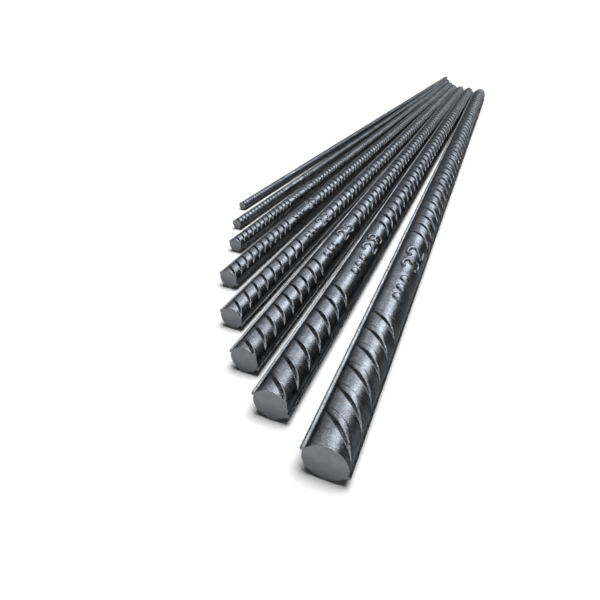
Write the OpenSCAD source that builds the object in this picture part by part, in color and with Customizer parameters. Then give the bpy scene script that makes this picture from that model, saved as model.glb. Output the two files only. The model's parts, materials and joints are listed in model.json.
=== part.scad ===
// Rebar bundle: eight deformed reinforcing bars of graded size, cut to one length and laid
// loose on the floor, spread at their near ends and side by side at their far ends.
// Every bar is rolled in one piece: a round with two opposite long ribs on filleted feet.
// Millimetres, +Z up, the bars run along +Y and their near ends are on the -Y side.

/* [Length] */
// Cut length of every bar
bar_len = 1200; // [600:10:3000]

/* [Diameters] */
// Nominal diameter of bar 1, the thinnest
d_1 = 10; // [8:0.5:12]
// Nominal diameter of bar 2
d_2 = 12; // [10:0.5:16]
// Nominal diameter of bar 3
d_3 = 16; // [12:0.5:20]
// Nominal diameter of bar 4
d_4 = 20; // [16:0.5:22]
// Nominal diameter of bar 5
d_5 = 22; // [20:0.5:25]
// Nominal diameter of bar 6
d_6 = 25; // [22:0.5:28]
// Nominal diameter of bar 7
d_7 = 28; // [25:0.5:32]
// Nominal diameter of bar 8, the thickest
d_8 = 32; // [28:0.5:40]

/* [Spread of the near ends] */
// Clear gap from the near end of bar 1 to bar 2
gap_1 = 16.5; // [4:0.5:40]
// Clear gap from the near end of bar 2 to bar 3
gap_2 = 17; // [4:0.5:40]
// Clear gap from the near end of bar 3 to bar 4
gap_3 = 16.5; // [4:0.5:40]
// Clear gap from the near end of bar 4 to bar 5
gap_4 = 16.5; // [4:0.5:40]
// Clear gap from the near end of bar 5 to bar 6
gap_5 = 15; // [4:0.5:40]
// Clear gap from the near end of bar 6 to bar 7
gap_6 = 13; // [4:0.5:40]
// Clear gap from the near end of bar 7 to bar 8
gap_7 = 20.5; // [4:0.5:40]

/* [Stagger of the near ends] */
// How far the near end of bar 1 stands back from that of bar 2
back_1 = 54; // [0:1:150]
// How far the near end of bar 2 stands back from that of bar 3
back_2 = 51; // [0:1:150]
// How far the near end of bar 3 stands back from that of bar 4
back_3 = 67; // [0:1:150]
// How far the near end of bar 4 stands back from that of bar 5
back_4 = 55; // [0:1:150]
// How far the near end of bar 5 stands back from that of bar 6
back_5 = 44; // [0:1:150]
// How far the near end of bar 6 stands back from that of bar 7
back_6 = 34; // [0:1:150]
// How far the near end of bar 7 stands back from that of bar 8
back_7 = 30; // [0:1:150]

/* [Rolled section] */
// Height of a long rib above the round, for each mm of diameter
rib_rise = 0.055; // [0.03:0.005:0.08]
// Width of a long rib, for each mm of diameter
rib_width = 0.11; // [0.08:0.01:0.16]
// Fillet radius at the foot of a long rib, for each mm of diameter
foot_fillet = 0.03; // [0.01:0.005:0.05]
// Radius on the crest edges of a long rib, for each mm of diameter
crest_round = 0.025; // [0.01:0.005:0.035]
// How far the bars are rolled, so that each left rib stands above the level of the axis
rib_roll = 25; // [0:1:35]

/* [Contact] */
// Gap left where a bar lies against the far end of the next thicker bar
touch_gap = 0.3; // [0.1:0.1:2]

/* [Hidden] */
$fn = 64;

diameter = [d_1, d_2, d_3, d_4, d_5, d_6, d_7, d_8];
gap = [gap_1, gap_2, gap_3, gap_4, gap_5, gap_6, gap_7];
back = [back_1, back_2, back_3, back_4, back_5, back_6, back_7];
last = len(diameter) - 1;
mill_scale = [0.27, 0.29, 0.32];

// Radius of the round, and radius out to the crest of a long rib
function round_r(i) = diameter[i] / 2;
function crest_r(i) = round_r(i) + rib_rise * diameter[i];

// Directions from the axis to the middle and the two edges of a long rib's crest
function crest_half_angle(i) = asin(rib_width * diameter[i] / 2 / crest_r(i));
function crest_angles(i) = [for (k = [-1, 0, 1]) rib_roll + k * crest_half_angle(i)];

// Half the width of bar i's round at height z, with the bar lying on the floor
function half_width(i, z) = sqrt(max(0, pow(round_r(i), 2) - pow(z - round_r(i), 2)));

// Distance between the axes of bars i and k at which a rib of bar i, at the given angle, meets bar k
function rib_contact(i, k, angle) =
    crest_r(i) * cos(angle) + half_width(k, round_r(i) + crest_r(i) * sin(angle));

// Distance between the axes at which the right rib of bar i meets the left rib of the next bar
function ribs_apart(i) = abs(round_r(i + 1) + crest_r(i + 1) * sin(rib_roll)
    - round_r(i) + crest_r(i) * sin(rib_roll));
function ribs_meet(i) = ribs_apart(i) < rib_width * (diameter[i] + diameter[i + 1]) / 2;
function rib_to_rib(i) = ribs_meet(i) ? crest_r(i) + crest_r(i + 1) : 0;

// Distance between the axes where bar i lies against the far end of the next thicker bar
function contact(i) = touch_gap + max(concat(
    [round_r(i) + round_r(i + 1), rib_to_rib(i)],
    [for (a = crest_angles(i)) rib_contact(i, i + 1, -a)],
    [for (a = crest_angles(i + 1)) rib_contact(i + 1, i, a)]
));

// Distance from the near end of bar i to the axis of the next thicker bar
function spread(i) = round_r(i) + round_r(i + 1) + gap[i];

// Angle between bar i and the next thicker bar
function lean(i) = atan((spread(i) - contact(i)) / (bar_len - back[i]));

// The middle of the fan points along +Y
function lean_past(i) = i > last - 1 ? 0 : lean(i) + lean_past(i + 1);
function yaw(i) = lean_past(i) - lean_past(0) / 2;

// Unit vectors along bar i, away from its near end, and square to it, to the right
function along(i) = [sin(yaw(i)), cos(yaw(i))];
function across(i) = [cos(yaw(i)), -sin(yaw(i))];

// Middle of the near end in plan, with bar 8's at zero, and of the far end
function near_end(i) = i == last ? [0, 0]
    : near_end(i + 1) + back[i] * along(i + 1) - spread(i) * across(i + 1);
function far_end(i) = near_end(i) + bar_len * along(i);

// Middle of the box round all the bars, which goes to the origin
function side_reach(i) = max([for (a = crest_angles(i)) crest_r(i) * cos(a)]);
corners = [
    for (i = [0:last], end = [near_end(i), far_end(i)], side = [-1, 1])
        end + side * side_reach(i) * across(i)
];
function middle(values) = (min(values) + max(values)) / 2;
centre = [middle([for (c = corners) c[0]]), middle([for (c = corners) c[1]])];

// One long rib in section, pointing along +X from the round, with its two foot fillets
module long_rib_section(d) {
    crest = d / 2 + rib_rise * d;
    half = rib_width * d / 2;
    fillet = foot_fillet * d;
    edge = crest_round * d;
    fillet_y = half + fillet;
    fillet_x = sqrt(pow(d / 2 + fillet, 2) - pow(fillet_y, 2));
    difference() {
        polygon([[0, 0], [fillet_x, -fillet_y], [fillet_x, fillet_y]]);
        for (side = [-1, 1])
            translate([fillet_x, side * fillet_y]) circle(r = fillet);
    }
    translate([0, -half]) square([crest - edge, 2 * half]);
    translate([0, edge - half]) square([crest, 2 * (half - edge)]);
    for (side = [-1, 1])
        translate([crest - edge, side * (half - edge)]) circle(r = edge);
}

// The rolled section: a round with two opposite long ribs
module bar_section(d) {
    circle(d = d);
    for (turn = [0, 180])
        rotate(turn) long_rib_section(d);
}

// Bar i, sawn square to length and laid on the floor in its place in the fan
module laid_bar(i) {
    place = near_end(i) - centre;
    color(mill_scale)
        translate([place[0], place[1], round_r(i)])
            rotate([-90, 0, -yaw(i)])
                linear_extrude(height = bar_len)
                    rotate(rib_roll) bar_section(diameter[i]);
}

module bar_d10() { laid_bar(0); }
module bar_d12() { laid_bar(1); }
module bar_d16() { laid_bar(2); }
module bar_d20() { laid_bar(3); }
module bar_d22() { laid_bar(4); }
module bar_d25() { laid_bar(5); }
module bar_d28() { laid_bar(6); }
module bar_d32() { laid_bar(7); }

bar_d10();
bar_d12();
bar_d16();
bar_d20();
bar_d22();
bar_d25();
bar_d28();
bar_d32();
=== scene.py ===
"""Looks of the rebar bundle: eight deformed bars with rolled ribs and marks, on a pale studio floor.

The file is laid out as an add-on and run as a script. Lengths are metres in the part's own frame.
Each bar is one closed surface over two parameters, the turn round the bar and the length along it,
with its rolled marks half sunk in it. Its axis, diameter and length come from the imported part.
"""

import json
import math

import bpy
import numpy as np
from bpy.props import FloatProperty, FloatVectorProperty, PointerProperty
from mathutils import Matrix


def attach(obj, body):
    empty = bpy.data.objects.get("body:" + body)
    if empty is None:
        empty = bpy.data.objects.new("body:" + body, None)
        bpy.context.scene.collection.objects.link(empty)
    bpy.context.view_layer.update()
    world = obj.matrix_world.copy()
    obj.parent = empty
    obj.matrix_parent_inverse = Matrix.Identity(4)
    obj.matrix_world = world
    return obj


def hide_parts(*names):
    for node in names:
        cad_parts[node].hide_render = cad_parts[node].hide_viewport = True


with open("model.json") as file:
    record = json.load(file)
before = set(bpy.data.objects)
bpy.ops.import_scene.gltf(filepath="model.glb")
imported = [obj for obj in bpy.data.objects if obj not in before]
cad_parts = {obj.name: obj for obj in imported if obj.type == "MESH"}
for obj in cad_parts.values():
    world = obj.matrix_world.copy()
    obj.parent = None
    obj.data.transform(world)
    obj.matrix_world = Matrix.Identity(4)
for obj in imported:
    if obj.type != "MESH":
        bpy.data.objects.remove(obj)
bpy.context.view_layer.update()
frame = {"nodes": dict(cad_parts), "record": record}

bl_info = {
    "name": "Rebar bundle",
    "version": (1, 0, 0),
    "blender": (4, 5, 0),
    "location": "View3D > Sidebar > Rebar",
    "description": "Rolls the ribs, marks and mill scale of eight deformed bars and sets up their studio",
    "category": "Object",
}

BODY = "root"
PHOTO_WIDTH_PX = 600
SENSOR_WIDTH_MM = 36.0
NEAREST_SEEN = 0.01
MM = 0.001

# Numbers of a bar's two materials in its mesh
MILL_SCALE = 0
SAWN_STEEL = 1

# Pitch of the cross ribs, middle of the first one, and middles of the pips and of the number,
# in millimetres from the near end of each bar, and slant of the ribs: how far they travel along
# the bar for each unit of travel round it
BAR_ROLLING = {
    "bar_d10": {"pitch": 6.0, "first": 2.0, "slant": 0.55, "pips": 128.0, "number": 150.0},
    "bar_d12": {"pitch": 7.5, "first": 2.5, "slant": 0.55, "pips": 138.0, "number": 163.0},
    "bar_d16": {"pitch": 9.5, "first": 3.6, "slant": 0.55, "pips": 150.0, "number": 180.0},
    "bar_d20": {"pitch": 12.1, "first": 4.4, "slant": 0.62, "pips": 155.0, "number": 192.0},
    "bar_d22": {"pitch": 16.2, "first": 7.5, "slant": 0.68, "pips": 167.0, "number": 205.0},
    "bar_d25": {"pitch": 17.3, "first": 4.5, "slant": 0.68, "pips": 177.0, "number": 223.0},
    "bar_d28": {"pitch": 21.2, "first": 6.5, "slant": 0.80, "pips": 187.0, "number": 235.0},
    "bar_d32": {"pitch": 23.1, "first": 15.8, "slant": 0.83, "pips": 185.0, "number": 242.0},
}

# Section of a cross rib, near side first: diameters along the bar from its middle, and height share.
# The grid of a bar has one row at each of these points, and the outermost rows lie on the core.
RIB_BROAD = (
    (-0.165, 0.0), (-0.145, 0.0), (-0.130, 0.06), (-0.120, 0.16), (-0.098, 0.50),
    (-0.060, 0.70), (-0.030, 0.75), (0.020, 0.76), (0.090, 0.74), (0.125, 0.70),
    (0.140, 0.62), (0.170, 0.14), (0.180, 0.05), (0.200, 0.0), (0.220, 0.0))
RIB_NARROW = (
    (-0.135, 0.0), (-0.115, 0.0), (-0.102, 0.08), (-0.082, 0.46), (-0.034, 0.84),
    (-0.010, 0.98), (0.012, 1.0), (0.030, 0.97), (0.042, 0.88), (0.075, 0.20),
    (0.090, 0.05), (0.110, 0.0), (0.130, 0.0))
RIB_MIDDLING = (
    (-0.140, 0.0), (-0.125, 0.0), (-0.110, 0.10), (-0.080, 0.62), (-0.030, 1.02),
    (-0.005, 1.12), (0.025, 1.10), (0.045, 0.95), (0.085, 0.15), (0.105, 0.0),
    (0.120, 0.0))
RIB_THIN = (
    (-0.170, 0.0), (-0.150, 0.0), (-0.135, 0.12), (-0.068, 1.20), (-0.020, 1.40),
    (0.070, 0.25), (0.110, 0.0), (0.130, 0.0))

# Each section with the diameter above which a bar has it, thickest bars first
THICK_FROM = 21 * MM
RIB_SECTIONS = (
    (30 * MM, RIB_BROAD),
    (THICK_FROM, RIB_NARROW),
    (13 * MM, RIB_MIDDLING),
    (0.0, RIB_THIN))

# Steps of the grid round a bar, over an arc of the core and over a bend of a long rib
THICK_STEPS = (20, 2)
SLIM_STEPS = (12, 1)
# How far the first and last rows of the grid start beyond the ends, in diameters
ROWS_PAST_END = 4

# Lanes round the bead of a digit, and its rounded tip: how far past the end of the stroke, in half
# widths, and the share of the width there
BEAD_LANES = 8
BEAD_TIP = ((1.0, 0.02), (0.7, 0.7))
PIPS = (-1, 0, 1)

# Noise of the finishes: cells for each metre, detail, and the part of the noise's range that is used
PATTERNS = {
    "roll_marks": {"scale": 900.0, "detail": 3.0, "low": 0.30, "high": 0.70},
    "mottle": {"scale": 70.0, "detail": 4.0, "low": 0.35, "high": 0.68},
    "grain": {"scale": 900.0, "detail": 3.0, "low": 0.30, "high": 0.60},
    "specks": {"scale": 1500.0, "detail": 1.0, "low": 0.52, "high": 0.75},
    "saw_lines": {"scale": 2600.0, "detail": 2.0, "low": 0.30, "high": 0.70},
    "saw_mottle": {"scale": 160.0, "detail": 3.0, "low": 0.30, "high": 0.70},
}
EVEN = (1.0, 1.0, 1.0)
DRAWN_ACROSS = (0.12, 1.0, 0.12)
DRAWN_LEVEL = (0.05, 0.05, 1.0)
# Height share at which rubbing of a rib starts and ends, most of it, and what grain leaves of it
RUB_RANGE = (0.55, 1.0)
RUB_MOST = 0.8
RUB_IN_GRAIN = (0.4, 1.0)
# Depth below the top of a sawn end, in diameters, at which the painted shade at its foot starts and is full
FOOT_SHADE_RANGE = (0.30, 0.95)
# How far roughness goes below and above the middle on mill scale, and its ends on sawn steel
SCALE_ROUGHNESS_SPREAD = (-0.08, 0.10)
SAWN_ROUGHNESS = (0.50, 0.66)
FLOOR_ROUGHNESS = 0.9
# Strength and depth of each bump
ROLL_MARK_BUMP = (0.2, 0.2 * MM)
GRAIN_BUMP = (0.7, 0.25 * MM)
SAW_LINE_BUMP = (0.15, 0.1 * MM)

# Heading to the right of +Y, height and spread of each far lamp, in degrees
LAMP_PLACES = {
    "key": (50.0, 82.0, 30.0),
    "strip": (15.0, 52.0, 38.0),
    "far": (4.0, 26.0, 22.0),
    "side": (-27.0, 38.0, 34.0),
    "low": (-46.0, 20.0, 42.0),
    "edge": (75.0, 50.0, 16.0),
    "top": (85.0, 70.0, 24.0),
    "back_right": (138.0, 24.0, 60.0),
    "back_left": (-150.0, 24.0, 46.0),
}


class RollingSettings(bpy.types.PropertyGroup):
    """Sizes of the rolled section, its ribs and its marks, as shares of the nominal diameter."""

    core: FloatProperty(
        name="Core", description="Diameter of the round between the ribs",
        default=0.965, min=0.9, max=1.0, subtype="FACTOR")
    long_rib_rise: FloatProperty(
        name="Long rib rise", description="Height of a long rib above the nominal round",
        default=0.055, min=0.03, max=0.08, subtype="FACTOR")
    long_rib_width: FloatProperty(
        name="Long rib width", description="Width of a long rib",
        default=0.11, min=0.08, max=0.16, subtype="FACTOR")
    long_rib_foot: FloatProperty(
        name="Long rib foot", description="Fillet radius at the foot of a long rib",
        default=0.03, min=0.01, max=0.05, subtype="FACTOR")
    long_rib_edge: FloatProperty(
        name="Long rib edge", description="Radius on the crest edges of a long rib",
        default=0.025, min=0.01, max=0.035, subtype="FACTOR")
    roll: FloatProperty(
        name="Roll", description="How far the bars are turned, so that the left long rib stands up",
        default=math.radians(25), subtype="ANGLE")
    rib_height: FloatProperty(
        name="Cross rib height", description="Height above the core of a cross rib at a height share of 1",
        default=0.074, min=0.02, max=0.09, subtype="FACTOR")
    rib_end_width: FloatProperty(
        name="Cross rib end width", description="Width of a cross rib where it runs out, against its middle",
        default=0.35, min=0.1, max=1.0, subtype="FACTOR")
    rib_reach: FloatProperty(
        name="Cross rib reach", description="Turn from the middle of a cross rib to where it runs out",
        default=math.radians(70), subtype="ANGLE")
    saw_edge: FloatProperty(
        name="Saw edge", description="Chamfer left on the edge of a sawn end",
        default=0.25 * MM, min=0.0, unit="LENGTH")
    digit_height: FloatProperty(
        name="Digit height", description="Height of a rolled digit, round the bar",
        default=0.54, min=0.3, max=0.7, subtype="FACTOR")
    digit_width: FloatProperty(
        name="Digit width", description="Width of a rolled digit, along the bar",
        default=0.50, min=0.2, max=0.6, subtype="FACTOR")
    digit_gap: FloatProperty(
        name="Digit gap", description="Gap between two rolled digits",
        default=0.26, min=0.1, max=0.5, subtype="FACTOR")
    stroke_width: FloatProperty(
        name="Stroke width", description="Width of the bead that draws a digit",
        default=0.13, min=0.05, max=0.2, subtype="FACTOR")
    pip_radius: FloatProperty(
        name="Pip radius", description="Radius of a rolled pip",
        default=0.18, min=0.05, max=0.25, subtype="FACTOR")
    pip_step: FloatProperty(
        name="Pip step", description="Distance between the middles of two pips",
        default=0.48, min=0.3, max=0.8, subtype="FACTOR")
    mark_rise: FloatProperty(
        name="Mark rise", description="Height of the rolled digits and pips above the core",
        default=0.058, min=0.01, max=0.06, subtype="FACTOR")
    mark_lean: FloatProperty(
        name="Mark lean", description="How far the marks stand to the left of the middle of the cross ribs",
        default=math.radians(3), subtype="ANGLE")
    mark_clear: FloatProperty(
        name="Mark clearance", description="Plain stretch beyond the middles of the pips and of the number",
        default=1.3, min=0.8, max=2.0, subtype="FACTOR")


class FinishSettings(bpy.types.PropertyGroup):
    """Colours and gloss of the steel."""

    scale_colour: FloatVectorProperty(
        name="Mill scale", description="Dark blue-grey of the rolled surface",
        default=(0.062, 0.069, 0.078), min=0.0, max=1.0, subtype="COLOR")
    scale_dark: FloatProperty(
        name="Dark mottle", description="Darkest mottle of the mill scale, against its colour",
        default=0.62, min=0.0, max=1.0, subtype="FACTOR")
    scale_pale: FloatProperty(
        name="Pale mottle", description="Palest mottle of the mill scale, against its colour",
        default=1.3, min=1.0, max=2.0, subtype="FACTOR")
    scale_roughness: FloatProperty(
        name="Scale roughness", description="Middle roughness of the mill scale",
        default=0.30, min=0.0, max=1.0, subtype="FACTOR")
    glancing_tint: FloatProperty(
        name="Glancing tint", description="How much of the glancing reflection the mill scale keeps",
        default=0.40, min=0.0, max=1.0, subtype="FACTOR")
    rubbed_colour: FloatVectorProperty(
        name="Rubbed scale", description="Paler grey where crests are rubbed",
        default=(0.088, 0.097, 0.109), min=0.0, max=1.0, subtype="COLOR")
    speck_gain: FloatProperty(
        name="Specks", description="Brightness of the fine specks, against the rubbed scale",
        default=1.5, min=1.0, max=3.0, subtype="FACTOR")
    sawn_colour: FloatVectorProperty(
        name="Sawn steel", description="Dull grey of a sawn end",
        default=(0.226, 0.247, 0.276), min=0.0, max=1.0, subtype="COLOR")
    sawn_dark: FloatProperty(
        name="Dark sawn mottle", description="Darkest mottle of the sawn steel, against its colour",
        default=0.86, min=0.0, max=1.0, subtype="FACTOR")
    sawn_pale: FloatProperty(
        name="Pale sawn mottle", description="Palest mottle of the sawn steel, against its colour",
        default=1.1, min=1.0, max=2.0, subtype="FACTOR")
    # Painted shade: how dark the foot of a sawn end is painted, standing in for the shadow near the floor
    foot_shade_dark: FloatProperty(
        name="Foot shade", description="Colour at the foot of a sawn end, against the sawn steel",
        default=0.2, min=0.0, max=1.0, subtype="FACTOR")


class StudioSettings(bpy.types.PropertyGroup):
    """Floor, lamps, surroundings and camera. Lamps are in watts for each square metre."""

    floor_colour: FloatVectorProperty(
        name="Floor", description="Colour of the floor",
        default=(0.95, 0.95, 0.95), min=0.0, max=1.0, subtype="COLOR")
    floor_reach: FloatProperty(
        name="Floor reach", description="Distance from the middle of the floor to each side",
        default=60.0, min=1.0, unit="LENGTH")
    key_strength: FloatProperty(
        name="Key", description="Strength of the overhead key lamp, which lights the floor and the sawn ends",
        default=3.35, min=0.0)
    strip_strength: FloatProperty(
        name="Strip", description="Strength of the far lamp that draws the highlight along the bars",
        default=2.55, min=0.0)
    far_strength: FloatProperty(
        name="Far", description="Strength of the lower far lamp that carries the highlight to the middle",
        default=1.9, min=0.0)
    side_strength: FloatProperty(
        name="Side", description="Strength of the lamp that carries the highlight over to the left",
        default=1.05, min=0.0)
    low_strength: FloatProperty(
        name="Low", description="Strength of the low lamp that lights the left sides of the bars",
        default=0.6, min=0.0)
    edge_strength: FloatProperty(
        name="Edge", description="Strength of the lamp that picks out the edges of the ribs",
        default=1.2, min=0.0)
    top_strength: FloatProperty(
        name="Top", description="Strength of the high lamp that fills in the near flanks of the ribs",
        default=0.25, min=0.0)
    back_right_strength: FloatProperty(
        name="Back right", description="Strength of the lamp on the camera's right, for views from behind",
        default=4.0, min=0.0)
    back_left_strength: FloatProperty(
        name="Back left", description="Strength of the lamp on the camera's left, for views from behind",
        default=2.2, min=0.0)
    wall_strength: FloatProperty(
        name="Walls", description="Strength of the grey walls, level with the floor",
        default=0.15, min=0.0)
    ceiling_strength: FloatProperty(
        name="Ceiling", description="Strength of the dark ceiling",
        default=0.03, min=0.0)
    ceiling_from: FloatProperty(
        name="Ceiling height", description="Height angle at which the walls have faded into the ceiling",
        default=math.radians(40), subtype="ANGLE")
    camera_place: FloatVectorProperty(
        name="Camera place", description="Where the camera stands",
        default=(0.1792, -0.9176, 0.2492), subtype="TRANSLATION", unit="LENGTH")
    camera_heading: FloatProperty(
        name="Camera heading", description="Turn of the camera to the left of the +Y axis",
        default=math.radians(25.15), subtype="ANGLE")
    camera_pitch: FloatProperty(
        name="Camera pitch", description="How far the camera looks down",
        default=math.radians(34.97), subtype="ANGLE")
    focal_length_px: FloatProperty(
        name="Focal length", description="Focal length of the camera, in pixels of the photograph",
        default=445.3, min=1.0)


# Shape of a bar

class BarFrame:
    """Axis of one bar: the middle of its near end, unit vectors along, across and up, and its sizes."""

    def __init__(self, node):
        mount = next(
            m for m in frame["record"]["mounts"] if m["name"] == "near_end_" + node.split("_")[-1])
        self.along = -np.array(mount["axis"])
        self.across = np.array([self.along[1], -self.along[0], 0.0])
        self.up = np.array([0.0, 0.0, 1.0])
        self.near = np.array(mount["pos_m"])
        self.diameter = 2 * self.near[2]
        points = np.array([v.co for v in frame["nodes"][node].data.vertices])
        self.length = float(((points - self.near) @ self.along).max())

    def place(self, right, height, length):
        """Points of the bar's own section and length as points of the part's frame."""
        return (
            self.near
            + right[..., None] * self.across
            + height[..., None] * self.up
            + length[..., None] * self.along)


class Shell:
    """Closed surface of a bar or mark: its points, what the finishes read there, and its faces.

    rub is the height share on ribs and marks, the foot shade is the depth below the top of a sawn end,
    which the sawn steel paints as shade at its foot, and crease is true on the rings that part the
    shading of the sides from that of the sawn ends.
    Each group of faces is (faces, material number, whether it is smooth).
    """

    def __init__(self, points, rub, groups, grime=None, crease=None):
        self.points = points
        self.rub = rub
        self.groups = groups
        self.grime = np.zeros(len(points)) if grime is None else grime
        self.crease = np.zeros(len(points), bool) if crease is None else crease


def joined(shells):
    """Several shells as one, with each one's faces numbered past the points of those before it."""
    starts = np.cumsum([0] + [len(shell.points) for shell in shells])
    groups = [
        (faces + start, material, smooth)
        for start, shell in zip(starts, shells)
        for faces, material, smooth in shell.groups]
    return Shell(
        np.vstack([shell.points for shell in shells]),
        np.concatenate([shell.rub for shell in shells]),
        groups,
        np.concatenate([shell.grime for shell in shells]),
        np.concatenate([shell.crease for shell in shells]))


def section_columns(rolling, diameter, arc_steps, bend_steps):
    """Closed outline of the rolled section, without cross ribs, as the turn and radius of its points.

    A long rib in its own axes has foot fillets that touch the core, straight flanks, rounded crest
    edges and a flat crest. Two of them, half a turn apart, are joined by arcs of the core. The turn
    is measured from the top to the right.
    """
    core = rolling.core * diameter / 2
    crest = diameter / 2 + rolling.long_rib_rise * diameter
    half = rolling.long_rib_width * diameter / 2
    foot = rolling.long_rib_foot * diameter
    edge = rolling.long_rib_edge * diameter
    foot_y = half + foot
    foot_x = math.sqrt((core + foot) ** 2 - foot_y ** 2)
    tangent = math.atan2(foot_y, foot_x)

    bend = np.linspace(0, 1, bend_steps + 1)
    foot_turn = math.pi + tangent + bend * (math.pi / 2 - tangent)
    edge_turn = (1 - bend) * math.pi / 2
    side_x = np.concatenate([
        foot_x + foot * np.cos(foot_turn),
        crest - edge + edge * np.cos(edge_turn)])
    side_y = np.concatenate([
        foot_y + foot * np.sin(foot_turn),
        half - edge + edge * np.sin(edge_turn)])
    rib_x = np.concatenate([side_x, [crest], side_x[::-1]])
    rib_y = np.concatenate([-side_y, [0.0], side_y[::-1]])
    rib_turn = np.arctan2(rib_y, rib_x)
    rib_radius = np.hypot(rib_x, rib_y)

    arc_turn = np.linspace(tangent, math.pi - tangent, arc_steps + 1)[1:-1]
    half_turn = np.concatenate([rib_turn, arc_turn])
    half_radius = np.concatenate([rib_radius, np.full(arc_turn.size, core)])
    start = rolling.roll - math.pi / 2
    turn = start + np.concatenate([half_turn, half_turn + math.pi])
    return turn, np.tile(half_radius, 2)


def rib_travel(rolling, turn):
    """(turn from the middle of the nearer row of cross ribs, side of the bar) for each turn.

    The rows are midway between the long ribs. The side is +1 on the upper row and -1 on the lower.
    """
    off = (turn - rolling.roll + math.pi / 2) % (2 * math.pi)
    side = np.where(off < math.pi, 1.0, -1.0)
    return off % math.pi - math.pi / 2, side


class CrossRibs:
    """The cross ribs of one bar: raised bands that slant round the bar and run out as crescents.

    The bar is lifted until the crests of the ribs below it, and not its core, reach down to the floor.
    """

    def __init__(self, rolling, bar, node):
        made = BAR_ROLLING[node]
        self.rolling = rolling
        self.bar = bar
        self.core = rolling.core * bar.diameter / 2
        self.section = np.array(next(
            section for above, section in RIB_SECTIONS if bar.diameter > above))
        self.slant = made["slant"]
        self.pitch = made["pitch"] * MM
        self.first = made["first"] * MM
        clear = rolling.mark_clear * bar.diameter
        self.plain = (made["pips"] * MM - clear, made["number"] * MM + clear)
        self.rise = rolling.rib_height * bar.diameter
        crest = self.rise * self.section[:, 1].max() * self.strength(math.pi)
        self.lift = max(self.core + crest - bar.diameter / 2, 0.0)

    def shown(self, at):
        """Whether there is a rib at each distance from the near end, with none in the plain stretch."""
        return (at < self.plain[0]) | (at > self.plain[1])

    def middles(self):
        """Distances of the ribs' middles from the near end."""
        lead = self.slant * self.core * math.pi / 2 + self.pitch
        count = np.arange(math.ceil((self.bar.length + lead - self.first) / self.pitch) + 1)
        at = self.first + count * self.pitch
        return at[self.shown(at)]

    def strength(self, turn):
        """1 in the middle of a rib, falling as a parabola to 0 where it runs out."""
        off = rib_travel(self.rolling, turn)[0]
        return np.clip(1 - np.square(off / self.rolling.rib_reach), 0.0, 1.0)

    def width(self, turn):
        """Length of one diameter of the section along the bar, drawn in towards the ends of the rib."""
        end = self.rolling.rib_end_width
        return self.bar.diameter * (end + (1 - end) * self.strength(turn))

    def lead(self, turn):
        """How far the rib's middle line lies along the bar: a straight slant on each side."""
        off, side = rib_travel(self.rolling, turn)
        return -side * self.slant * self.core * off

    def relief(self, turn, length):
        """Height share of the ribs at each turn and length: the section times the rib's strength."""
        off = length - self.lead(turn) - self.first
        count = np.maximum(np.round(off / self.pitch), 0.0)
        x = (off - count * self.pitch) / self.width(turn)
        height = np.interp(x, self.section[:, 0], self.section[:, 1])
        return self.shown(self.first + count * self.pitch) * height * self.strength(turn)


def bar_surface(rolling, bar, ribs):
    """The sides of one bar and its two sawn ends, as one shell.

    The columns of the grid follow the section and the rows follow the cross ribs, so the grid leans
    with them. The radius is that of the section plus the ribs' rise times their relief. Rows that
    pass an end are drawn onto it and merged there, column by column, which turns the last cells into
    triangles.
    """
    steps = THICK_STEPS if bar.diameter > THICK_FROM else SLIM_STEPS
    turn, radius = section_columns(rolling, bar.diameter, *steps)
    rows = ribs.middles()[:, None, None] + ribs.section[None, :, :1] * ribs.width(turn)
    rows = (rows + ribs.lead(turn)).reshape(-1, turn.size)
    past_end = ROWS_PAST_END * bar.diameter
    rows = np.vstack([
        np.full(turn.size, -past_end), rows, np.full(turn.size, bar.length + past_end)])

    edge = rolling.saw_edge
    low, high = edge, bar.length - edge
    first = (rows <= low).sum(0) - 1
    last = (rows < high).sum(0)
    length = np.clip(rows, low, high)
    relief = ribs.relief(turn, length)
    reach = radius + ribs.rise * relief
    sides = bar.place(reach * np.sin(turn), reach * np.cos(turn) + ribs.lift, length).reshape(-1, 3)

    number = np.arange(rows.size).reshape(rows.shape)
    column = np.arange(turn.size)
    index = number[np.clip(np.arange(len(rows))[:, None], first, last), column]
    beside = np.roll(index, -1, 1)
    cell = np.stack([index[:-1], beside[:-1], beside[1:], index[1:]], -1).reshape(-1, 4)
    left_open = cell[:, 0] != cell[:, 3]
    right_open = cell[:, 1] != cell[:, 2]
    quads = cell[left_open & right_open]
    triangles = np.vstack([
        cell[left_open & ~right_open][:, [0, 1, 3]],
        cell[~left_open & right_open][:, [0, 1, 2]]])

    near_ring = number[first, column]
    far_ring = number[last, column]
    near_end, near_chamfer, near_fan = sawn_end(
        bar, ribs, turn, reach[first, column] - edge, 0.0, near_ring, rows.size)
    far_end, far_chamfer, far_fan = sawn_end(
        bar, ribs, turn, reach[last, column] - edge, bar.length, far_ring, rows.size + len(near_end))
    ends = np.vstack([near_end, far_end])
    crease = np.zeros(len(sides) + len(ends), bool)
    crease[near_ring] = True
    crease[far_ring] = True
    return Shell(
        np.vstack([sides, ends]),
        np.concatenate([relief.ravel(), np.zeros(len(ends))]),
        [
            (quads, MILL_SCALE, True),
            (triangles, MILL_SCALE, True),
            (near_chamfer, MILL_SCALE, False),
            (far_chamfer[:, ::-1], MILL_SCALE, False),
            (near_fan, SAWN_STEEL, False),
            (far_fan[:, ::-1], SAWN_STEEL, False),
        ],
        # Depth below the top of each sawn end, which the sawn steel paints as shade towards its foot
        np.concatenate([np.zeros(len(sides)), np.clip(1 - ends[:, 2] / bar.diameter, 0.0, 1.0)]),
        crease)


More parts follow.
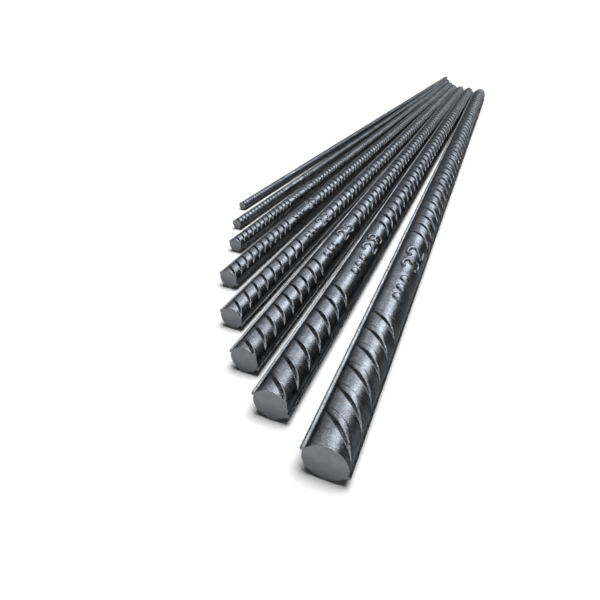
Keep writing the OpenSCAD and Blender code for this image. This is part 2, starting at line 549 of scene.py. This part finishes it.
def sawn_end(bar, ribs, turn, radius, at, ring, start):
    """A flat sawn end as (points, chamfer, fan), its points numbered from the given start.

    A rim of the given radius is joined by the chamfer to the last ring of the sides, and the fan
    closes it from the middle. The faces point towards the near end.
    """
    rim = bar.place(radius * np.sin(turn), radius * np.cos(turn) + ribs.lift, np.full(turn.size, at))
    middle = bar.place(np.array([0.0]), np.array([ribs.lift]), np.array([at]))
    rim_index = start + np.arange(turn.size)
    beside = np.roll(rim_index, -1)
    chamfer = np.stack([rim_index, beside, np.roll(ring, -1), ring], -1)
    fan = np.stack([np.full(turn.size, start + turn.size), beside, rim_index], -1)
    return np.vstack([rim, middle]), chamfer, fan


# Rolled marks

def arc(middle, size, start, stop, steps=14):
    """Points along part of an ellipse, from one angle to another in degrees."""
    turn = np.radians(np.linspace(start, stop, steps))
    return np.stack([middle[0] + size[0] * np.cos(turn), middle[1] + size[1] * np.sin(turn)], -1)


def digit_strokes(digit):
    """Strokes of a plain digit in a cell one wide and one high, each as (points, whether it closes)."""
    strokes = {
        "0": [(arc((0.5, 0.5), (0.5, 0.5), 0, 345, 24), True)],
        "1": [(np.array([(0.2, 0.78), (0.55, 1.0), (0.55, 0.5), (0.55, 0.0)]), False)],
        "2": [(np.vstack([
            arc((0.5, 0.7), (0.48, 0.3), 165, -35),
            [(0.0, 0.0), (0.5, 0.0), (1.0, 0.0)]]), False)],
        "3": [(np.vstack([
            arc((0.45, 0.76), (0.42, 0.24), 155, -80),
            arc((0.45, 0.26), (0.5, 0.27), 80, -155)]), False)],
        "5": [(np.vstack([
            [(0.9, 1.0), (0.5, 1.0), (0.14, 1.0), (0.08, 0.56)],
            arc((0.46, 0.32), (0.5, 0.32), 130, -150)]), False)],
        "6": [(np.vstack([
            arc((0.8, 0.3), (0.8, 0.7), 95, 175),
            arc((0.5, 0.3), (0.5, 0.3), 180, 500, 22)]), False)],
        "8": [
            (arc((0.5, 0.76), (0.4, 0.24), 0, 340, 18), True),
            (arc((0.5, 0.26), (0.5, 0.27), 0, 340, 18), True)],
    }
    return strokes[digit]


def bead(path, closed, width, rise):
    """A rounded bead carried along a path, as (points over along, up and height, quads, triangles).

    Its section is a flattened round, half sunk, and it shrinks to a tip at each end of an open path.
    """
    lanes = np.linspace(0, 2 * math.pi, BEAD_LANES, endpoint=False)
    share = np.ones(len(path))
    if closed:
        ahead = np.roll(path, -1, 0) - np.roll(path, 1, 0)
    else:
        start = path[0] - path[1]
        stop = path[-1] - path[-2]
        start *= width / 2 / np.linalg.norm(start)
        stop *= width / 2 / np.linalg.norm(stop)
        tip_reach, tip_share = np.array(BEAD_TIP).T
        path = np.vstack([
            path[0] + tip_reach[:, None] * start,
            path,
            path[-1] + tip_reach[::-1, None] * stop])
        share = np.concatenate([tip_share, share, tip_share[::-1]])
        ahead = np.gradient(path, axis=0)
    ahead /= np.linalg.norm(ahead, axis=1, keepdims=True)
    side = np.stack([ahead[:, 1], -ahead[:, 0]], -1)
    reach = share[:, None] * width / 2 * np.cos(lanes)
    height = share[:, None] * rise * np.sin(lanes)
    flat = path[:, None, :] + reach[..., None] * side[:, None, :]
    points = np.concatenate([flat, height[..., None]], -1)
    number = np.arange(height.size).reshape(height.shape)
    beside = np.roll(number, -1, 1)
    cell = np.stack([number, beside, np.roll(beside, -1, 0), np.roll(number, -1, 0)], -1)
    quads = cell.reshape(-1, 4) if closed else cell[:-1].reshape(-1, 4)
    triangles = np.empty((0, 3), int)
    if not closed:
        fan = np.arange(1, lanes.size - 1)
        triangles = np.vstack([
            np.stack([np.full(fan.size, number[0, 0]), number[0, fan + 1], number[0, fan]], -1),
            np.stack([np.full(fan.size, number[-1, 0]), number[-1, fan], number[-1, fan + 1]], -1)])
    return points.reshape(-1, 3), quads, triangles


def pip(place, radius, rise, steps=14, rings=7):
    """A low round pip: a flattened ball over turn and slope, half sunk, with a point at each pole."""
    slope = np.linspace(0, math.pi, rings + 1)[1:-1, None]
    turn = np.linspace(0, 2 * math.pi, steps, endpoint=False)
    grid = np.stack(np.broadcast_arrays(
        place[0] + radius * np.sin(slope) * np.cos(turn),
        place[1] + radius * np.sin(slope) * np.sin(turn),
        rise * np.cos(slope)), -1)
    poles = np.array([(place[0], place[1], rise), (place[0], place[1], -rise)])
    points = np.vstack([grid.reshape(-1, 3), poles])
    number = np.arange(slope.size * steps).reshape(-1, steps)
    beside = np.roll(number, -1, 1)
    quads = np.stack([number[:-1], number[1:], beside[1:], beside[:-1]], -1).reshape(-1, 4)
    top, bottom = len(points) - 2, len(points) - 1
    triangles = np.vstack([
        np.stack([np.full(steps, top), number[0], beside[0]], -1),
        np.stack([np.full(steps, bottom), beside[-1], number[-1]], -1)])
    return points, quads, triangles


def rolled_marks(rolling, bar, ribs, node):
    """The pips and the size number of one bar, each stroke or pip a shell wrapped onto its core.

    A mark is drawn flat, along the bar and up round it to the left, and laid on the core by turning
    the second measure into an angle and adding the third to the radius.
    """
    made = BAR_ROLLING[node]
    size = bar.diameter
    rise = rolling.mark_rise * size
    number = "%d" % round(size / MM)
    wide, high = rolling.digit_width * size, rolling.digit_height * size
    step = wide + rolling.digit_gap * size
    marks = []
    for place, digit in enumerate(number):
        start = made["number"] * MM + (place - (len(number) - 1) / 2) * step - wide / 2
        for path, closed in digit_strokes(digit):
            path = path * (wide, high) + (start, -high / 2)
            marks.append(bead(path, closed, rolling.stroke_width * size, rise))
    for place in PIPS:
        middle = made["pips"] * MM + place * rolling.pip_step * size
        marks.append(pip((middle, 0.0), rolling.pip_radius * size, rise))
    shells = []
    for flat, quads, triangles in marks:
        turn = rolling.roll - rolling.mark_lean - flat[:, 1] / ribs.core
        radius = ribs.core + flat[:, 2]
        points = bar.place(radius * np.sin(turn), radius * np.cos(turn) + ribs.lift, flat[:, 0])
        rub = np.clip(flat[:, 2] / rise, 0, 1)
        shells.append(Shell(points, rub, [(quads, MILL_SCALE, True), (triangles, MILL_SCALE, True)]))
    return shells


def shell_mesh(name, shell):
    """Mesh of a shell without the points that no face uses, with rub and the painted foot shade as point
    attributes.

    An edge is sharp where both its points are on a crease.
    """
    groups = shell.groups
    used = np.unique(np.concatenate([faces.ravel() for faces, _, _ in groups]))
    renumber = np.zeros(len(shell.points), int)
    renumber[used] = np.arange(used.size)
    corners = np.concatenate([renumber[faces].ravel() for faces, _, _ in groups])
    sizes = np.concatenate([np.full(len(faces), faces.shape[1]) for faces, _, _ in groups])
    materials = np.concatenate([np.full(len(faces), material) for faces, material, _ in groups])
    flat = np.concatenate([np.full(len(faces), not smooth) for faces, _, smooth in groups])
    mesh = bpy.data.meshes.new(name)
    mesh.vertices.add(used.size)
    mesh.vertices.foreach_set("co", shell.points[used].astype(np.float32).ravel())
    mesh.loops.add(corners.size)
    mesh.loops.foreach_set("vertex_index", corners.astype(np.int32))
    mesh.polygons.add(sizes.size)
    mesh.polygons.foreach_set("loop_start", (np.cumsum(sizes) - sizes).astype(np.int32))
    mesh.polygons.foreach_set("material_index", materials.astype(np.int32))
    mesh.attributes.new("sharp_face", "BOOLEAN", "FACE").data.foreach_set("value", flat)
    for attribute, values in (("rub", shell.rub), ("grime", shell.grime)):
        data = mesh.attributes.new(attribute, "FLOAT", "POINT").data
        data.foreach_set("value", values[used].astype(np.float32))
    mesh.update(calc_edges=True)
    ends = np.empty(2 * len(mesh.edges), np.int32)
    mesh.edges.foreach_get("vertices", ends)
    sharp = shell.crease[used][ends.reshape(-1, 2)].all(1)
    mesh.attributes.new("sharp_edge", "BOOLEAN", "EDGE").data.foreach_set("value", sharp)
    mesh.validate()
    return mesh


# Finishes

class NodeBench:
    """Adds joined-up nodes to the tree of a material or of the surroundings."""

    def __init__(self, tree):
        self.nodes = tree.nodes
        self.links = tree.links

    def noise(self, pattern, stretch):
        """The named noise over Object coordinates, stretched by the given scale."""
        coordinates = self.nodes.new("ShaderNodeTexCoord")
        mapping = self.nodes.new("ShaderNodeMapping")
        mapping.inputs["Scale"].default_value = stretch
        self.links.new(coordinates.outputs["Object"], mapping.inputs["Vector"])
        node = self.nodes.new("ShaderNodeTexNoise")
        node.inputs["Scale"].default_value = PATTERNS[pattern]["scale"]
        node.inputs["Detail"].default_value = PATTERNS[pattern]["detail"]
        self.links.new(mapping.outputs["Vector"], node.inputs["Vector"])
        return node.outputs["Fac"]

    def attribute(self, name):
        """An attribute of the mesh's points."""
        node = self.nodes.new("ShaderNodeAttribute")
        node.attribute_name = name
        return node.outputs["Fac"]

    def remap(self, value, from_range, to_range=(0.0, 1.0)):
        """The value moved from one range to another."""
        node = self.nodes.new("ShaderNodeMapRange")
        node.inputs["From Min"].default_value = from_range[0]
        node.inputs["From Max"].default_value = from_range[1]
        node.inputs["To Min"].default_value = to_range[0]
        node.inputs["To Max"].default_value = to_range[1]
        self.links.new(value, node.inputs["Value"])
        return node.outputs["Result"]

    def used_part(self, value, pattern, to_range=(0.0, 1.0)):
        """The part of the named noise's range that is used, moved to another range."""
        return self.remap(value, (PATTERNS[pattern]["low"], PATTERNS[pattern]["high"]), to_range)

    def product(self, first, second):
        """One value times another."""
        node = self.nodes.new("ShaderNodeMath")
        node.operation = "MULTIPLY"
        self.links.new(first, node.inputs[0])
        self.links.new(second, node.inputs[1])
        return node.outputs["Value"]

    def mixed(self, share, first, second):
        """A colour between two, each a plain colour or another node's output."""
        node = self.nodes.new("ShaderNodeMix")
        node.data_type = "RGBA"
        self.links.new(share, node.inputs["Factor"])
        sockets = [socket for socket in node.inputs if socket.type == "RGBA"]
        for socket, value in zip(sockets, (first, second)):
            if isinstance(value, bpy.types.NodeSocket):
                self.links.new(value, socket)
            else:
                socket.default_value = (*value, 1.0)
        return next(socket for socket in node.outputs if socket.type == "RGBA")

    def bump(self, height, strength, depth, under=None):
        """A bump of the given height, on top of another one where there is one under it."""
        node = self.nodes.new("ShaderNodeBump")
        node.inputs["Strength"].default_value = strength
        node.inputs["Distance"].default_value = depth
        self.links.new(height, node.inputs["Height"])
        if under is not None:
            self.links.new(under, node.inputs["Normal"])
        return node.outputs["Normal"]


def new_material(name):
    """An empty node material with its Principled shader joined to the output."""
    material = bpy.data.materials.new(name)
    material.use_nodes = True
    bench = NodeBench(material.node_tree)
    bench.nodes.clear()
    shader = bench.nodes.new("ShaderNodeBsdfPrincipled")
    output = bench.nodes.new("ShaderNodeOutputMaterial")
    bench.links.new(shader.outputs["BSDF"], output.inputs["Surface"])
    return material, bench, shader


def shade(colour, gain):
    """A colour made darker or paler."""
    return tuple(gain * part for part in colour)


def mill_scale_material(finish):
    """Dark mill scale: mottled blue-grey, fine marks across the bar from the rolls, paler rubbed crests."""
    material, bench, shader = new_material("mill_scale")
    roll_marks = bench.noise("roll_marks", DRAWN_ACROSS)
    mottle = bench.noise("mottle", EVEN)
    grain = bench.noise("grain", EVEN)
    specks = bench.noise("specks", EVEN)
    scale = bench.mixed(
        bench.used_part(mottle, "mottle"),
        shade(finish.scale_colour, finish.scale_dark),
        shade(finish.scale_colour, finish.scale_pale))
    worn = bench.product(
        bench.remap(bench.attribute("rub"), RUB_RANGE, (0.0, RUB_MOST)),
        bench.used_part(grain, "grain", RUB_IN_GRAIN))
    rubbed = bench.mixed(worn, scale, finish.rubbed_colour)
    speckled = bench.mixed(
        bench.used_part(specks, "specks"), rubbed, shade(finish.rubbed_colour, finish.speck_gain))
    bench.links.new(speckled, shader.inputs["Base Color"])
    roughness = [finish.scale_roughness + part for part in SCALE_ROUGHNESS_SPREAD]
    bench.links.new(bench.used_part(roll_marks, "roll_marks", roughness), shader.inputs["Roughness"])
    shader.inputs["Metallic"].default_value = 1.0
    shader.inputs["Specular Tint"].default_value = (*[finish.glancing_tint] * 3, 1.0)
    rolled = bench.bump(roll_marks, *ROLL_MARK_BUMP)
    bench.links.new(bench.bump(grain, *GRAIN_BUMP, under=rolled), shader.inputs["Normal"])
    return material


def sawn_steel_material(finish):
    """Dull sawn steel: mid grey with fine level saw lines, a soft mottle and painted shade towards its foot.
    """
    material, bench, shader = new_material("sawn_steel")
    lines = bench.noise("saw_lines", DRAWN_LEVEL)
    mottle = bench.noise("saw_mottle", EVEN)
    steel = bench.mixed(
        bench.used_part(mottle, "saw_mottle"),
        shade(finish.sawn_colour, finish.sawn_dark),
        shade(finish.sawn_colour, finish.sawn_pale))
    # Painted shade: the sawn end is painted darker towards its foot, in place of the shadow near the floor
    foot_shaded = bench.mixed(
        bench.remap(bench.attribute("grime"), FOOT_SHADE_RANGE),
        steel, shade(finish.sawn_colour, finish.foot_shade_dark))
    bench.links.new(foot_shaded, shader.inputs["Base Color"])
    bench.links.new(bench.used_part(lines, "saw_lines", SAWN_ROUGHNESS), shader.inputs["Roughness"])
    shader.inputs["Metallic"].default_value = 0.0
    bench.links.new(bench.bump(lines, *SAW_LINE_BUMP), shader.inputs["Normal"])
    return material


def floor_material(studio):
    """Plain pale matt floor."""
    material, _, shader = new_material("pale_floor")
    shader.inputs["Base Color"].default_value = (*studio.floor_colour, 1.0)
    shader.inputs["Roughness"].default_value = FLOOR_ROUGHNESS
    shader.inputs["Specular IOR Level"].default_value = 0.0
    return material


# Operators

class REBAR_OT_roll_bars(bpy.types.Operator):
    """Rolls the eight bars, each with its long ribs, cross ribs, pips, size number and sawn ends"""

    bl_idname = "rebar.roll_bars"
    bl_label = "Roll the bars"

    def execute(self, context):
        rolling = context.scene.rebar_rolling
        finish = context.scene.rebar_finish
        materials = (mill_scale_material(finish), sawn_steel_material(finish))
        for node in sorted(frame["nodes"]):
            bar = BarFrame(node)
            ribs = CrossRibs(rolling, bar, node)
            shell = joined([bar_surface(rolling, bar, ribs), *rolled_marks(rolling, bar, ribs, node)])
            mesh = shell_mesh("ribbed_" + node, shell)
            for material in materials:
                mesh.materials.append(material)
            piece = bpy.data.objects.new("ribbed_" + node, mesh)
            context.scene.collection.objects.link(piece)
            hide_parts(node)
            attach(piece, BODY)
        return {"FINISHED"}


class REBAR_OT_set_studio(bpy.types.Operator):
    """Sets up the pale floor, the lamps, the grey surroundings and the camera"""

    bl_idname = "rebar.set_studio"
    bl_label = "Set up the studio"

    def execute(self, context):
        scene = context.scene
        studio = scene.rebar_studio
        scene.view_settings.view_transform = "Standard"
        self.lay_floor(scene, studio)
        for name in LAMP_PLACES:
            self.hang_lamp(scene, name, getattr(studio, name + "_strength"))
        self.paint_surroundings(scene, studio)
        self.stand_camera(scene, studio)
        return {"FINISHED"}

    def lay_floor(self, scene, studio):
        """Lays a square floor under the part."""
        reach = studio.floor_reach
        corners = [(-reach, -reach, 0.0), (reach, -reach, 0.0), (reach, reach, 0.0), (-reach, reach, 0.0)]
        mesh = bpy.data.meshes.new("studio_floor")
        mesh.from_pydata(corners, [], [(0, 1, 2, 3)])
        mesh.materials.append(floor_material(studio))
        floor = bpy.data.objects.new("studio_floor", mesh)
        scene.collection.objects.link(floor)

    def hang_lamp(self, scene, name, strength):
        """Hangs a far lamp, facing the part from its heading and height.

        The key lights what is matt, and the other lamps draw only the highlights on the steel.
        """
        heading, height, spread = (math.radians(angle) for angle in LAMP_PLACES[name])
        light = bpy.data.lights.new(name, "SUN")
        light.energy = strength
        light.angle = spread
        lamp = bpy.data.objects.new(name, light)
        lamp.rotation_euler = (height - math.pi / 2, 0.0, -heading)
        scene.collection.objects.link(lamp)
        if name == "key":
            lamp.visible_glossy = False
        else:
            lamp.visible_diffuse = False
            light.cycles.max_bounces = 0

    def paint_surroundings(self, scene, studio):
        """Grey walls that fade upwards into a dark ceiling."""
        world = bpy.data.worlds.new("grey_walls")
        world.use_nodes = True
        bench = NodeBench(world.node_tree)
        direction = bench.nodes.new("ShaderNodeSeparateXYZ")
        around = bench.nodes.new("ShaderNodeTexCoord")
        bench.links.new(around.outputs["Generated"], direction.inputs["Vector"])
        strength = bench.remap(
            direction.outputs["Z"],
            (0.0, math.sin(studio.ceiling_from)), (studio.wall_strength, studio.ceiling_strength))
        background = bench.nodes["Background"]
        background.inputs["Color"].default_value = (1.0, 1.0, 1.0, 1.0)
        bench.links.new(strength, background.inputs["Strength"])
        scene.world = world

    def stand_camera(self, scene, studio):
        """Stands the camera at the photograph's angle."""
        view = bpy.data.cameras.new("camera")
        view.sensor_width = SENSOR_WIDTH_MM
        view.lens = studio.focal_length_px / PHOTO_WIDTH_PX * SENSOR_WIDTH_MM
        view.clip_start = NEAREST_SEEN
        camera = bpy.data.objects.new("camera", view)
        camera.location = studio.camera_place
        camera.rotation_euler = (math.pi / 2 - studio.camera_pitch, 0.0, studio.camera_heading)
        scene.collection.objects.link(camera)
        scene.camera = camera


class REBAR_PT_bundle(bpy.types.Panel):
    """Lists the steps and the settings of the rebar bundle"""

    bl_idname = "REBAR_PT_bundle"
    bl_label = "Rebar bundle"
    bl_space_type = "VIEW_3D"
    bl_region_type = "UI"
    bl_category = "Rebar"

    def draw(self, context):
        for step in STEPS:
            self.layout.operator(step.bl_idname)
        for name in SETTINGS:
            group = getattr(context.scene, name)
            for prop in group.__annotations__:
                self.layout.prop(group, prop)


STEPS = (REBAR_OT_roll_bars, REBAR_OT_set_studio)
SETTINGS = {
    "rebar_rolling": RollingSettings,
    "rebar_finish": FinishSettings,
    "rebar_studio": StudioSettings,
}
CLASSES = (*SETTINGS.values(), *STEPS, REBAR_PT_bundle)


def register():
    """Registers the classes and gives the scene its settings."""
    for made in CLASSES:
        bpy.utils.register_class(made)
    for name, group in SETTINGS.items():
        setattr(bpy.types.Scene, name, PointerProperty(type=group))


def unregister():
    """Takes the settings and the classes away again."""
    for name in SETTINGS:
        delattr(bpy.types.Scene, name)
    for made in reversed(CLASSES):
        bpy.utils.unregister_class(made)


def main():
    register()
    bpy.ops.rebar.roll_bars()
    bpy.ops.rebar.set_studio()


if __name__ == "__main__":
    main()
